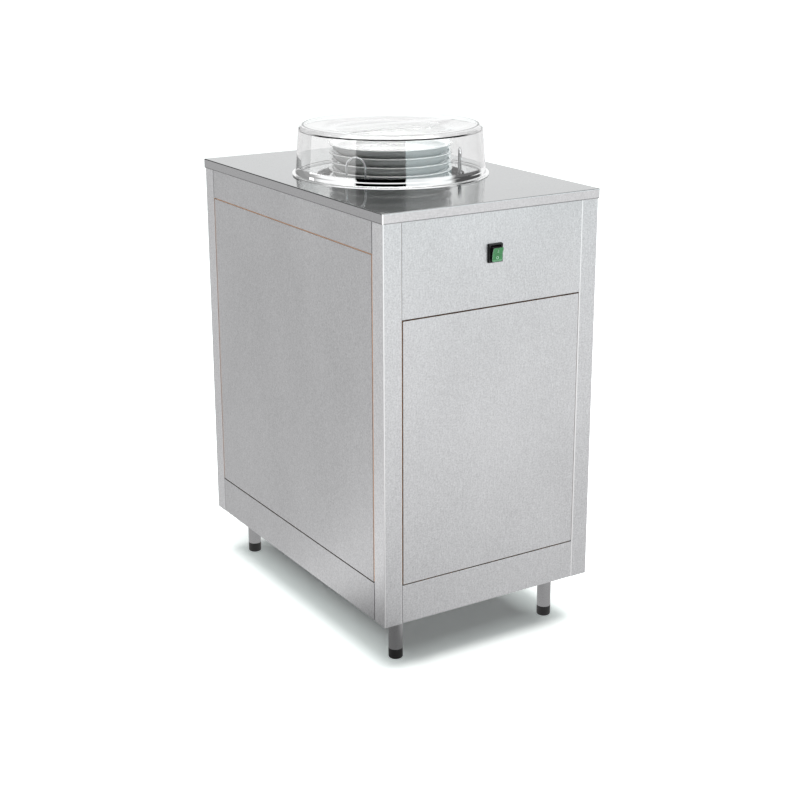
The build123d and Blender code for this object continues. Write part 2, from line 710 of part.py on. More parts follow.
with BuildPart() as carrier_bushes:
    with BuildSketch(Plane.XY.offset(STAR_Z - BUSH_FLANGE_T)):
        with Locations(*ROD_POINTS):
            Circle(BUSH_FLANGE_D / 2)
            Circle(ROD_D / 2 + RUN_FIT, mode=Mode.SUBTRACT)
    extrude(amount=BUSH_FLANGE_T)
    with BuildSketch(Plane.XY.offset(STAR_Z)):
        with Locations(*ROD_POINTS):
            Circle(ROD_D / 2 + BUSH_WALL)
            Circle(ROD_D / 2 + RUN_FIT, mode=Mode.SUBTRACT)
    extrude(amount=BUSH_L - BUSH_FLANGE_T)
save(carrier_bushes.part, "carrier_bushes")

SPRING_Z0 = STAR_Z + STAR_T + CONTACT_GAP + SPRING_WIRE / 2
SPRING_Z1 = RING_Z0 - CONTACT_GAP - SPRING_WIRE / 2
SPRING_COIL_R = (SPRING_D - SPRING_WIRE) / 2
SPRING_POINTS = [polar(a, ROD_R, side * SPRING_SIDE_GAP) for a in ARM_ANGLES for side in (-1, 1)]


def make_spring():
    height = SPRING_Z1 - SPRING_Z0
    with BuildPart() as spring:
        with BuildLine():
            coil = Helix(height / SPRING_TURNS, height, SPRING_COIL_R)
        with BuildSketch(Plane(coil @ 0, z_dir=coil % 0)):
            Circle(SPRING_WIRE / 2)
        sweep(is_frenet=True)
    return spring.part


with BuildPart() as lift_springs:
    with Locations(*[(x, y, SPRING_Z0) for x, y in SPRING_POINTS]):
        add(make_spring())
save(lift_springs.part, "lift_springs")


# ---------------------------------------------------------------- heater and electrics
with BuildPart() as heater_element:
    start = 270.0 + HEATER_TAIL_ANGLE
    with BuildLine(Plane.XY.offset(HEATER_Z)) as ring_line:
        CenterArc((0, 0), HEATER_R, start, 360 - 2 * HEATER_TAIL_ANGLE)
    with BuildSketch(Plane(ring_line.line @ 0, z_dir=ring_line.line % 0)):
        Circle(HEATER_D / 2)
    sweep()
    with BuildSketch(Plane.XY.offset(WELL_Z0 - HEATER_TAIL_DROP)):
        with Locations(*HEATER_TAILS):
            Circle(HEATER_D / 2)
    extrude(amount=HEATER_TAIL_DROP + HEATER_RISE)
    with BuildSketch(Plane.XY.offset(WELL_Z0 - BASE_T)):
        with Locations(*HEATER_TAILS):
            RegularPolygon(HEATER_NUT_AF / 2, 6, major_radius=False)
    extrude(amount=-HEATER_NUT_H)
save(heater_element.part, "heater_element")

with BuildPart() as thermostat:
    with BuildSketch(Plane.XY.offset(WELL_Z0 - BASE_T)):
        with Locations((0, THERMOSTAT_Y)):
            Circle(THERMOSTAT_D / 2)
    extrude(amount=-THERMOSTAT_H)
    with BuildSketch(Plane.XY.offset(WELL_Z0 - BASE_T - THERMOSTAT_H)):
        with Locations((0, THERMOSTAT_Y)):
            with Locations((-THERMOSTAT_TAB_PITCH / 2, 0), (THERMOSTAT_TAB_PITCH / 2, 0)):
                Rectangle(TAB_T, TAB_W)
    extrude(amount=-TAB_L)
save(thermostat.part, "thermostat")

BLOCK_Y = BODY_D / 2 - RAIL_DEPTH - GLAND_TAIL - BLOCK_D
with BuildPart() as terminal_block:
    with BuildSketch(Plane.XY.offset(BODY_Z0 + FLOOR_SHEET)):
        with Locations((GLAND_X, BLOCK_Y)):
            Rectangle(BLOCK_W, BLOCK_D)
    extrude(amount=BLOCK_H)
    with BuildSketch(Plane.XY.offset(BODY_Z0 + FLOOR_SHEET + BLOCK_H)):
        with Locations((GLAND_X, BLOCK_Y)):
            with GridLocations(POLE_PITCH, BLOCK_D / 2, BLOCK_POLES, 2):
                Circle(POLE_HOLE_D / 2)
    extrude(amount=-BLOCK_H / 2, mode=Mode.SUBTRACT)
save(terminal_block.part, "terminal_block")

GLAND_PLANE = FACES["back"]
with BuildPart() as supply_gland:
    with BuildSketch(GLAND_PLANE):
        with Locations((-GLAND_X, GLAND_Z)):
            RegularPolygon(GLAND_HEX_AF / 2, 6, major_radius=False)
    extrude(amount=GLAND_HEX_H)
    with BuildSketch(GLAND_PLANE.offset(GLAND_HEX_H)):
        with Locations((-GLAND_X, GLAND_Z)):
            Circle(GLAND_DOME_D / 2)
    extrude(amount=GLAND_DOME_H)
    fillet(supply_gland.faces().sort_by(Axis.Y)[-1].edges(), GLAND_DOME_H / 2)
    with BuildSketch(GLAND_PLANE):
        with Locations((-GLAND_X, GLAND_Z)):
            Circle(GLAND_THREAD_D / 2)
    extrude(amount=-GLAND_TAIL)
    with BuildSketch(GLAND_PLANE.offset(-RAIL_SHEET)):
        with Locations((-GLAND_X, GLAND_Z)):
            RegularPolygon(GLAND_HEX_AF / 2, 6, major_radius=False)
    extrude(amount=-GLAND_NUT_H)
    with BuildSketch(GLAND_PLANE.offset(GLAND_HEX_H + GLAND_DOME_H)):
        with Locations((-GLAND_X, GLAND_Z)):
            Circle(GLAND_BORE_D / 2)
    extrude(amount=-(GLAND_HEX_H + GLAND_DOME_H + GLAND_TAIL), mode=Mode.SUBTRACT)
save(supply_gland.part, "supply_gland")


# ---------------------------------------------------------------- plates
def make_plate(z):
    """Deep stacking plate. Its foot meets the plate below where that one's floor is flat."""
    floor = PLATE_PITCH - NEST_GAP
    under = floor - PLATE_FLOOR
    foot_in = PLATE_FOOT_R - PLATE_FOOT_W
    foot_top = (PLATE_FOOT_R + PLATE_FOOT_DRAFT, PLATE_FOOT_H)
    neck = PLATE_R - PLATE_RIM_W
    lip = PLATE_H - PLATE_RIM_T
    rim_x = PLATE_R - PLATE_RIM_T / 2
    belly = (PLATE_R - PLATE_BELLY[0], PLATE_BELLY[1])
    bowl = (PLATE_R - PLATE_BOWL[0], PLATE_BOWL[1])
    rim_in = (neck - PLATE_RIM_DRAFT, PLATE_H)
    with BuildPart() as plate:
        with BuildSketch(Plane.XZ):
            with BuildLine():
                Polyline(
                    (0, under),
                    (foot_in - PLATE_FOOT_DRAFT, under),
                    (foot_in, 0),
                    (PLATE_FOOT_R, 0),
                    foot_top,
                )
                Spline(foot_top, belly, (neck, lip), tangents=((1, 0.15), (0.25, 1)))
                Line((neck, lip), (rim_x, lip))
                ThreePointArc((rim_x, lip), (PLATE_R, lip + PLATE_RIM_T / 2), (rim_x, PLATE_H))
                Line((rim_x, PLATE_H), rim_in)
                Spline(rim_in, bowl, (PLATE_FLOOR_R, floor), tangents=((-0.35, -1), (-1, -0.05)))
                Polyline((PLATE_FLOOR_R, floor), (0, floor), (0, under))
            make_face()
        revolve(axis=Axis.Z)
    return plate.part.moved(Location((0, 0, z)))


for number in range(1, PLATES + 1):
    save(make_plate(PLATFORM_Z + (number - 1) * PLATE_PITCH), f"plate_{number}")


# ---------------------------------------------------------------- lid
def lid_form(low, grow):
    """The lid's outer form from a height up, or with grow below 0 the form of its hollow."""
    base = LID_BASE_R + grow
    shoulder = LID_SHOULDER_R + grow
    top = LID_Z1 + grow
    with BuildPart() as form:
        with BuildSketch(Plane.XZ) as profile:
            Polygon((0, low), (base, low), (shoulder, top), (0, top), align=None)
            shoulder_point = profile.vertices().sort_by(Axis.Y)[-2:].sort_by(Axis.X)[-1]
            fillet(shoulder_point, LID_CORNER_R + grow)
        revolve(axis=Axis.Z)
    return form.part


def grip_pocket(side, grow):
    """Half-moon finger recess beside the grip bar, its floor rising to the rim all round."""
    floor = LID_Z1 - GRIP_DEPTH - grow
    height = GRIP_DEPTH + grow
    rim = GRIP_FLOOR_R + height * GRIP_SCOOP / GRIP_DEPTH
    bar_side = side * (GRIP_BAR_W / 2 - grow)
    with BuildPart() as pocket:
        with BuildSketch(Plane.XZ):
            Polygon((0, floor), (GRIP_FLOOR_R, floor), (rim, LID_Z1), (0, LID_Z1), align=None)
        revolve(axis=Axis.Z)
        with BuildSketch(Plane.XY.offset(floor)):
            with Locations((0, bar_side + side * rim)):
                Rectangle(2 * rim, 2 * rim)
        extrude(amount=height, mode=Mode.INTERSECT)
        if not grow:
            foot = pocket.faces().sort_by(Axis.Z)[0].edges().filter_by(GeomType.LINE)
            fillet(foot, GRIP_FLOOR_FILLET)
    return pocket.part


def lid_hollow():
    with BuildPart() as hollow:
        add(lid_form(TOP_H, -LID_WALL))
        for side in (-1, 1):
            add(grip_pocket(side, LID_WALL), mode=Mode.SUBTRACT)
    return hollow.part


with BuildPart() as lid:
    add(lid_form(TOP_H + LID_FLANGE_T, 0.0))
    with BuildSketch(Plane.XY.offset(TOP_H)):
        Circle(LID_FLANGE_R)
    extrude(amount=LID_FLANGE_T)
    root = lid.edges().filter_by(GeomType.CIRCLE).filter_by_position(Axis.Z, TOP_H, TOP_H + LID_FLANGE_T)
    fillet(root.sort_by(SortBy.RADIUS)[0], LID_FOOT_FILLET)
    for side in (-1, 1):
        add(grip_pocket(side, 0.0), mode=Mode.SUBTRACT)
    add(lid_hollow(), mode=Mode.SUBTRACT)
save(lid.part, "lid")
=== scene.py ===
import math

import bmesh
import bpy
from mathutils import Matrix, Vector


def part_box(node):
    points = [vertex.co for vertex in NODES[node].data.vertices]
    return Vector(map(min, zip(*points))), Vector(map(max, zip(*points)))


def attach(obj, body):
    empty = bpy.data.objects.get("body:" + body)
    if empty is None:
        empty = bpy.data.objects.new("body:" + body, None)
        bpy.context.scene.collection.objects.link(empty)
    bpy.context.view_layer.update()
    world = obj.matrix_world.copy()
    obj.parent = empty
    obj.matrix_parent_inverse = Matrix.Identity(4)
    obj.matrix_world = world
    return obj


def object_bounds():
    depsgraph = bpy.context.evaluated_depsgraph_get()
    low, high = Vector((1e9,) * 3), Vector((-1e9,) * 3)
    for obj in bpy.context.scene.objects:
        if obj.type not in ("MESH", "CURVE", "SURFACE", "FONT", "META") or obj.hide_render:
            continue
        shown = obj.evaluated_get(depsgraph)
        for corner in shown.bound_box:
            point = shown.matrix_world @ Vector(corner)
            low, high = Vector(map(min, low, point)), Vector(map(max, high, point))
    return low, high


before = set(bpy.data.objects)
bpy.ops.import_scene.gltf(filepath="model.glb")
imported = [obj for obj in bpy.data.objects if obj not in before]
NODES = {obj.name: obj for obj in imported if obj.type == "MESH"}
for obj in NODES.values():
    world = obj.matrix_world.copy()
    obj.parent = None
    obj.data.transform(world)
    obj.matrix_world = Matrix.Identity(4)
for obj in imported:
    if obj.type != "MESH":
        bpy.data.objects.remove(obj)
CAD_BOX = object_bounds()
scene = bpy.context.scene


# ---------------------------------------------------------------- camera
AZIMUTH = math.radians(-31.736)
ELEVATION = math.radians(16.464)
ROLL = math.radians(-0.135)
DISTANCE = 3.2089
AIM = Vector((0.1041, 0.1359, 0.4250))
FOCAL_PIXELS = 1527.0
PICTURE_PIXELS = 800
SENSOR_WIDTH = 36.0
SHIFT_UP = -0.05
RIGHT = Vector((math.cos(AZIMUTH), math.sin(AZIMUTH), 0.0))
CAMERA_SIDE = Vector((math.sin(AZIMUTH), -math.cos(AZIMUTH), 0.0))


def make_camera():
    """The camera that was solved from the photograph's straight edges."""
    back = CAMERA_SIDE * math.cos(ELEVATION) + Vector((0.0, 0.0, math.sin(ELEVATION)))
    up = back.cross(RIGHT)
    data = bpy.data.cameras.new("camera")
    data.sensor_fit = "HORIZONTAL"
    data.sensor_width = SENSOR_WIDTH
    data.lens = FOCAL_PIXELS / PICTURE_PIXELS * SENSOR_WIDTH
    data.shift_y = SHIFT_UP
    data.clip_start = 0.05
    data.clip_end = 200
    camera = bpy.data.objects.new("camera", data)
    scene.collection.objects.link(camera)
    pose = Matrix.Identity(4)
    pose.col[0][:3] = math.cos(ROLL) * RIGHT + math.sin(ROLL) * up
    pose.col[1][:3] = math.cos(ROLL) * up - math.sin(ROLL) * RIGHT
    pose.col[2][:3] = back
    pose.col[3][:3] = AIM + back * DISTANCE
    camera.matrix_world = pose
    scene.camera = camera


make_camera()


# ---------------------------------------------------------------- node helpers
WHITE = (1.0, 1.0, 1.0, 1.0)


def grey(level):
    return (level, level, level, 1.0)


class Net:
    """A small wrapper that builds the nodes of a material or of the world."""

    def __init__(self, tree, output="ShaderNodeOutputMaterial"):
        self.tree = tree
        tree.nodes.clear()
        self.out = self.add(output)

    def add(self, kind, inputs=None, **settings):
        """Adds a node. inputs holds plain values or other nodes' outputs, by the input's name or number."""
        node = self.tree.nodes.new(kind)
        for key, value in settings.items():
            setattr(node, key, value)
        for key, value in (inputs or {}).items():
            self.feed(value, node.inputs[key])
        return node

    def feed(self, value, socket):
        if isinstance(value, bpy.types.NodeSocket):
            self.tree.links.new(value, socket)
        else:
            socket.default_value = value

    def show(self, shader):
        """Makes a shader node the one that shows."""
        self.feed(shader.outputs[0], self.out.inputs[0])

    # numbers
    def math(self, operation, a, b=0.0, c=0.0, clamp=False):
        return self.add("ShaderNodeMath", {0: a, 1: b, 2: c}, operation=operation, use_clamp=clamp).outputs[0]

    def product(self, first, *others):
        for other in others:
            first = self.math("MULTIPLY", first, other)
        return first

    def flip(self, value):
        return self.math("SUBTRACT", 1.0, value)

    def weigh(self, first, second, share):
        """first times share, plus second times the rest."""
        return self.math("MULTIPLY_ADD", first, share, self.math("MULTIPLY", second, 1.0 - share))

    def remap(self, value, a, b, c, d):
        """c where value is a, d where it is b, and a straight change between them."""
        return self.add("ShaderNodeMapRange", {0: value, 1: a, 2: b, 3: c, 4: d}).outputs[0]

    def step(self, value, start, full):
        return self.remap(value, start, full, 0.0, 1.0)

    def fall(self, value, start, gone):
        return self.remap(value, start, gone, 1.0, 0.0)

    def step_at(self, value, middle, edges):
        """A step whose start and end are offsets from middle."""
        start, full = (middle + offset for offset in edges)
        return self.step(value, start, full)

    def window(self, value, middle, edges):
        """A soft-edged band. edges are its offsets from middle: it starts, is full, weakens and is gone."""
        start, full, last, gone = (middle + offset for offset in edges)
        return self.product(self.step(value, start, full), self.fall(value, last, gone))

    # vectors
    def vector(self, operation, *operands):
        return self.add("ShaderNodeVectorMath", dict(enumerate(operands)), operation=operation).outputs[0]

    def measure(self, operation, *operands):
        """A vector operation that gives a number."""
        node = self.add("ShaderNodeVectorMath", dict(enumerate(operands)), operation=operation)
        return node.outputs["Value"]

    def split(self, vector):
        return self.add("ShaderNodeSeparateXYZ", {0: vector}).outputs

    def place(self):
        return self.add("ShaderNodeTexCoord").outputs["Object"]

    def geometry(self, kind):
        return self.add("ShaderNodeNewGeometry").outputs[kind]

    # textures, colours and shaders
    def stretched(self, stretch):
        return self.add("ShaderNodeMapping", {0: self.place(), "Scale": stretch}).outputs[0]

    def noise(self, stretch=(1, 1, 1), scale=1.0, detail=3.0, roughness=0.5):
        vector = self.stretched(stretch)
        inputs = {"Vector": vector, "Scale": scale, "Detail": detail, "Roughness": roughness}
        return self.add("ShaderNodeTexNoise", inputs).outputs[0]

    def cells(self, stretch, scale):
        vector = self.stretched(stretch)
        return self.add("ShaderNodeTexVoronoi", {"Vector": vector, "Scale": scale}).outputs[0]

    def ramp(self, value, stops):
        """A colour or a level that follows value, from a list of (position, colour or level)."""
        node = self.add("ShaderNodeValToRGB", {0: value})
        elements = node.color_ramp.elements
        while len(elements) < len(stops):
            elements.new(0.5)
        for element, (position, colour) in zip(elements, stops):
            element.position = position
            element.color = (*colour, 1.0) if isinstance(colour, tuple) else grey(colour)
        return node.outputs[0]

    def tint(self, factor, first, second, kind="MIX"):
        """Mixes two colours."""
        inputs = {0: factor, 6: first, 7: second}
        return self.add("ShaderNodeMix", inputs, data_type="RGBA", blend_type=kind).outputs[2]

    def blend(self, factor, first, second):
        """Mixes two shaders."""
        return self.add("ShaderNodeMixShader", {0: factor, 1: first.outputs[0], 2: second.outputs[0]})

    def bump(self, height, strength, distance):
        node = self.add("ShaderNodeBump", {"Height": height, "Strength": strength, "Distance": distance})
        return node.outputs[0]


def material(name):
    """A new material with its nodes and its one shader, which shows."""
    mat = bpy.data.materials.new(name)
    mat.use_nodes = True
    net = Net(mat.node_tree)
    bsdf = net.add("ShaderNodeBsdfPrincipled")
    net.show(bsdf)
    return mat, net, bsdf


def grained(net, pattern, colour, contrast, dark_at=0.35, light_at=0.65):
    """A colour that a pattern darkens and lightens by contrast."""
    dark = tuple(c * (1 - contrast) for c in colour)
    light = tuple(min(1.0, c * (1 + contrast)) for c in colour)
    return net.ramp(pattern, [(dark_at, dark), (light_at, light)])


def varied(net, pattern, middle, spread):
    """A value that follows a pattern, within spread of its middle."""
    return net.remap(pattern, 0.3, 0.7, middle - spread, middle + spread)


def dress(net, bsdf, **values):
    """Sets a shader's inputs. An underscore in a keyword stands for the space in the input's name."""
    for key, value in values.items():
        net.feed(value, bsdf.inputs[key.replace("_", " ")])


# ---------------------------------------------------------------- metals and plastics
STEEL = (0.60, 0.603, 0.61)
# A copy of STEEL darkened by painted shade, for the side panels and rails.
SIDE_STEEL_SHADED = tuple(c * 0.82 for c in STEEL)
LEG_STEEL = tuple(c * 0.60 for c in STEEL)
SHEET_ROUGHNESS = 0.34
TOP_ROUGHNESS = 0.09
UPRIGHT_GRAIN = (900, 900, 60)
CROSSWISE_GRAIN = (60, 900, 900)
MOTTLE_STRETCH = (6, 6, 4)
SPECK_SHARE = 0.6
MOTTLE_SHARE = 0.12
STREAK_BUMP = 0.25
# The level of the painted highlight on rounded upright corners.
CORNER_HIGHLIGHT = 0.88
CORNER_TURN = (0.1, 1.0, 1.0)
# Parts of a face's normal, or for the corners their product, between which an effect sets in.
LOOKS_UP = (0.6, 0.7)
LOOKS_SIDEWAYS = (0.6, 0.9)
FOLD_SIDEWAYS = (0.25, 0.4)
FOLD_UP = (0.15, 0.3)
CORNER_EDGES = (0.08, 0.2)
JOINT_TOP = 0.0012
JOINT_GONE = 0.0018
JOINT_SHADE = 0.5
FOLD_SHADE = 0.25


def edge_shade(net, skin, across, rise, ends, seam):
    """Painted shade on the worktop's edge: scaled by ends at the left and right, dark in the fold above and
    at the joint.
    """
    height = net.split(net.place())[2]
    sideways = net.math("ABSOLUTE", across)
    end = net.remap(sideways, *LOOKS_SIDEWAYS, 1.0, ends)
    joint = net.remap(height, seam + JOINT_TOP, seam + JOINT_GONE, JOINT_SHADE, 1.0)
    fold = net.product(net.step(sideways, *FOLD_SIDEWAYS), net.step(rise, *FOLD_UP))
    level = net.product(end, joint, net.remap(fold, 0.0, 1.0, 1.0, FOLD_SHADE))
    return net.tint(1.0, skin, level, "MULTIPLY")


def brushed(
    name, colour, roughness, grain, contrast,
    depth=0.00002, spread=0.05, upward=1.0, corners=0.0, ends=1.0, seam=None,
):
    """Brushed sheet: fine streaks along the grain, a speckle over them, a soft mottle under them.

    grain is how much the streaks are squeezed along X, Y and Z, and spread is how much their gloss varies.
    upward scales the colour of faces that look up, a painted shade. corners is the level of a painted
    highlight on the rounded upright corners, whose shading normals are also turned as if they looked to the
    front or the back. ends and seam are for edge_shade, and seam is the height of the joint below the
    worktop's edge.
    """
    mat, net, bsdf = material(name)
    fine = net.noise(grain, detail=4.0, roughness=0.6)
    speck = net.noise(scale=330.0, detail=2.0, roughness=0.7)
    mottle = net.noise(MOTTLE_STRETCH, detail=2.0)
    streak = net.weigh(speck, fine, SPECK_SHARE)
    pattern = net.weigh(mottle, streak, MOTTLE_SHARE)
    normal = net.geometry("True Normal")
    across, along, rise = net.split(normal)
    skin = grained(net, pattern, colour, contrast, dark_at=0.36, light_at=0.64)
    # Painted shade: faces that look up take their colour times upward.
    skin = net.tint(net.step(rise, *LOOKS_UP), skin, grey(upward), "MULTIPLY")
    if seam:
        skin = edge_shade(net, skin, across, rise, ends, seam)
    shading = net.bump(streak, STREAK_BUMP, depth)
    # Painted highlight: the rounded upright corners are lifted to the level corners, and their shading
    # normals turned to the front or the back.
    if corners:
        corner = net.step(net.math("ABSOLUTE", net.product(across, along)), *CORNER_EDGES)
        skin = net.tint(corner, skin, grey(corners))
        turned = net.vector("MULTIPLY", normal, CORNER_TURN)
        lean = net.add("ShaderNodeMix", {0: corner, 4: shading, 5: turned}, data_type="VECTOR").outputs[1]
        shading = net.vector("NORMALIZE", lean)
    rough = varied(net, fine, roughness, spread)
    dress(net, bsdf, Base_Color=skin, Metallic=1.0, Roughness=rough, Normal=shading)
    return mat


def plain_metal(name, colour, roughness, scale=180.0, contrast=0.06, depth=0.00003):
    mat, net, bsdf = material(name)
    grain = net.noise(scale=scale, detail=4.0, roughness=0.6)
    skin = grained(net, grain, colour, contrast)
    rough = varied(net, grain, roughness, roughness * 0.15)
    dress(net, bsdf, Base_Color=skin, Metallic=1.0, Roughness=rough, Normal=net.bump(grain, 0.2, depth))
    return mat


def plastic(name, colour, roughness):
    mat, net, bsdf = material(name)
    grain = net.noise(scale=900.0, roughness=0.55)
    skin = grained(net, grain, colour, contrast=0.08)
    rough = varied(net, grain, roughness, roughness * 0.1)
    dress(net, bsdf, Base_Color=skin, Roughness=rough, Normal=net.bump(grain, 0.3, 0.00003))
    return mat


# ---------------------------------------------------------------- board, wool and ceramic
BOARD_COLOURS = [(0.15, (0.80, 0.48, 0.30)), (0.5, (0.90, 0.60, 0.42)), (0.85, (0.96, 0.74, 0.58))]
# The colour of the painted light that board edges give off.
BOARD_PAINTED_GLOW = (0.90, 0.64, 0.48, 1.0)


def board_material(name, glow=0.0):
    """The chipboard edges that show in the gaps round the panels. glow is a painted light that they give off,
    though they are no lamp.
    """
    mat, net, bsdf = material(name)
    chips = net.cells((1, 1, 1.6), 620.0)
    fibre = net.noise((500, 500, 900), roughness=0.6)
    grain = net.weigh(chips, fibre, 0.55)
    skin = net.ramp(grain, BOARD_COLOURS)
    dress(net, bsdf, Base_Color=skin, Roughness=0.75, Normal=net.bump(grain, 0.6, 0.0002))
    dress(net, bsdf, Emission_Color=BOARD_PAINTED_GLOW, Emission_Strength=glow)
    return mat


def sealed_board_material():
    mat, net, bsdf = material("board_sealed")
    fibre = net.noise((300, 300, 600), detail=4.0, roughness=0.6)
    skin = net.ramp(fibre, [(0.3, (0.020, 0.017, 0.015)), (0.7, (0.045, 0.038, 0.034))])
    dress(net, bsdf, Base_Color=skin, Roughness=0.6, Normal=net.bump(fibre, 0.4, 0.0002))
    return mat


def wool_material():
    mat, net, bsdf = material("mineral_wool")
    fibre = net.noise((700, 700, 160), detail=5.0, roughness=0.7)
    skin = net.ramp(fibre, [(0.3, (0.42, 0.34, 0.18)), (0.7, (0.70, 0.62, 0.40))])
    dress(net, bsdf, Base_Color=skin, Roughness=0.95, Normal=net.bump(fibre, 0.8, 0.0006))
    return mat


GLAZE_UP_SHADE = 0.36
GLAZE_LOOKS_UP = (0.6, 0.8)


def ceramic_material():
    """White glaze over a faint speck. Faces that look up get painted shade: they are toned down, so that they
    don't clip to white.
    """
    mat, net, bsdf = material("glazed_ceramic")
    speck = net.noise(scale=260.0, detail=4.0, roughness=0.6)
    wave = net.noise(scale=30.0, detail=2.0)
    rise = net.split(net.geometry("True Normal"))[2]
    skin = net.ramp(speck, [(0.3, (0.77, 0.775, 0.77)), (0.7, (0.83, 0.835, 0.83))])
    skin = net.tint(net.step(rise, *GLAZE_LOOKS_UP), skin, grey(GLAZE_UP_SHADE), "MULTIPLY")
    dress(net, bsdf, Base_Color=skin, Roughness=0.16, Normal=net.bump(wave, 0.05, 0.0004))
    dress(net, bsdf, Coat_Weight=0.6, Coat_Roughness=0.04)
    return mat


# ---------------------------------------------------------------- cover
LID_CORNER = 0.0080
LID_DRAFT = 0.0073
LID_FLANGE = 0.0057
# Where the two painted dark lines, which stand in for the moulding's dark reflections, start, are full,
# weaken and are gone: heights from the shoulder, radii from its own.
SHOULDER_LINE = (-0.0008, -0.0004, 0.0018, 0.0022)
TOP_RING = (-0.0110, -0.0090, -0.0075, -0.0060)
TOP_RING_DARKNESS = 0.45
# Where the line's skin, the wall's outer skin and the top's sheet set in, from the shoulder or the wall.
SHOULDER_SKIN = (-0.0012, -0.0008)
OUTER_SKIN = (-0.0026, -0.0022)
SHEET_EDGE = (-0.0012, -0.0009)
LINE_FACING = (0.38, 0.52)
PAINTED_DARK = grey(0.02)
SHEET_GLOSS = 1.6
WALL_GLOSS = 0.08
POLISH = 0.02
FOOT_TOP = 0.0166
FOOT_GONE = 0.0186
# How far the foot's shading normal leans up, by its height as a share of FOOT_SPAN.
FOOT_SPAN = 0.025
FOOT_LEAN = [
    (0.0, 1.0), (0.155, 1.0), (0.165, 0.16), (0.36, 0.16),
    (0.37, 0.9), (0.44, 0.9), (0.455, 0.30), (0.74, 0.08),
]


def painted_shoulder_lines(net, height, radius, shoulder, shoulder_r):
    """Painted dark reflections: a dark line along the shoulder where it faces the viewer, and a fainter one
    round the top's flat.
    """
    facing = net.add("ShaderNodeLayerWeight", {0: 0.5}).outputs["Facing"]
    line = net.product(
        net.window(height, shoulder, SHOULDER_LINE),
        net.step_at(radius, shoulder_r, SHOULDER_SKIN),
        net.fall(facing, *LINE_FACING),
    )
    ring = net.product(net.window(radius, shoulder_r, TOP_RING), TOP_RING_DARKNESS)
    return net.math("MAXIMUM", line, ring)


def foot_band(net, rise):
    """A mirror whose normal leans up as a flaring foot's would, which gives bright and dark bands."""
    lean = net.ramp(net.math("DIVIDE", rise, FOOT_SPAN), FOOT_LEAN)
    tilt = net.add("ShaderNodeCombineXYZ", {2: lean}).outputs[0]
    normal = net.vector("NORMALIZE", net.vector("ADD", net.geometry("Normal"), tilt))
    return net.add("ShaderNodeBsdfGlossy", {"Color": WHITE, "Roughness": POLISH, "Normal": normal})


def lid_material(low, high):
    """Clear moulding: thick glass in the wall, a thin bright sheet on top, polished bands round the foot."""
    mat, net, glass = material("clear_cover")
    haze = net.ramp(net.noise(scale=45.0), [(0.3, (0.985, 0.995, 0.99)), (0.7, (1.0, 1.0, 1.0))])
    dress(net, glass, Base_Color=haze, Roughness=0.0, Transmission_Weight=1.0, IOR=1.45)
    shoulder = high[2] - LID_CORNER
    wall_r = high[0] - LID_FLANGE
    place = net.place()
    height = net.split(place)[2]
    rise = net.math("SUBTRACT", height, low[2])
    radius = net.measure("LENGTH", net.vector("MULTIPLY", place, (1.0, 1.0, 0.0)))
    outward = net.flip(net.geometry("Backfacing"))
    mirror = net.add("ShaderNodeBsdfGlossy", {"Color": WHITE, "Roughness": POLISH})
    # the top: a sheet that reflects, with its painted dark lines
    clear = net.add("ShaderNodeBsdfTransparent", {"Color": WHITE})
    painted_dark_sheet = net.add("ShaderNodeBsdfTransparent", {"Color": PAINTED_DARK})
    fresnel = net.add("ShaderNodeFresnel", {"IOR": 1.5}).outputs[0]
    sheet = net.blend(net.product(fresnel, SHEET_GLOSS, outward), clear, mirror)
    painted_lines = painted_shoulder_lines(net, height, radius, shoulder, wall_r - LID_DRAFT)
    # Painted dark reflections: a dark transparent sheet where the lines lie.
    sheet = net.blend(net.product(painted_lines, outward), sheet, painted_dark_sheet)
    # the wall: the foot's bands are on its outer skin, and other mirrors don't show them
    skin = net.step_at(radius, wall_r, OUTER_SKIN)
    direct = net.flip(net.add("ShaderNodeLightPath").outputs["Is Glossy Ray"])
    foot = net.product(net.fall(rise, FOOT_TOP, FOOT_GONE), skin, outward, direct)
    wall = net.blend(foot, glass, foot_band(net, rise))
    wall = net.blend(net.product(outward, WALL_GLOSS), wall, mirror)
    net.show(net.blend(net.step_at(height, shoulder, SHEET_EDGE), wall, sheet))
    return mat


# ---------------------------------------------------------------- rocker
ROCKER_HALF_W = 0.011
ROCKER_HALF_H = 0.0128
RIM_START = 0.0022
RIM_FULL = 0.0009
RIM_HIGHLIGHT_GREEN = (0.20, 0.58, 0.29, 1.0)
ROCKER_BLACK = grey(0.010)
FRONT = (0.0, -1.0, 0.0)
LOOKS_AHEAD = (0.45, 0.55)


def rocker_material(low, high):
    """Black sides and a green lens on the front, with a painted highlight in paler green round the lens's
    edge, where the light leaks along it.
    """
    mat, net, bsdf = material("green_rocker")
    green = net.ramp(net.noise(scale=140.0), [(0.3, (0.030, 0.33, 0.085)), (0.7, (0.060, 0.46, 0.13))])
    x, _, z = net.split(net.place())
    across = net.math("ABSOLUTE", net.math("SUBTRACT", x, (low[0] + high[0]) / 2))
    along = net.math("ABSOLUTE", net.math("SUBTRACT", z, (low[2] + high[2]) / 2))
    # Painted highlight: a paler green band round the lens's edge.
    rim_highlight = net.math(
        "MAXIMUM",
        net.step(across, ROCKER_HALF_W - RIM_START, ROCKER_HALF_W - RIM_FULL),
        net.step(along, ROCKER_HALF_H - RIM_START, ROCKER_HALF_H - RIM_FULL),
    )
    lens = net.tint(rim_highlight, green, RIM_HIGHLIGHT_GREEN)
    ahead = net.measure("DOT_PRODUCT", net.geometry("True Normal"), FRONT)
    skin = net.tint(net.step(ahead, *LOOKS_AHEAD), ROCKER_BLACK, lens)
    dress(net, bsdf, Base_Color=skin, Roughness=0.18, Coat_Weight=0.5, Coat_Roughness=0.05)
    return mat


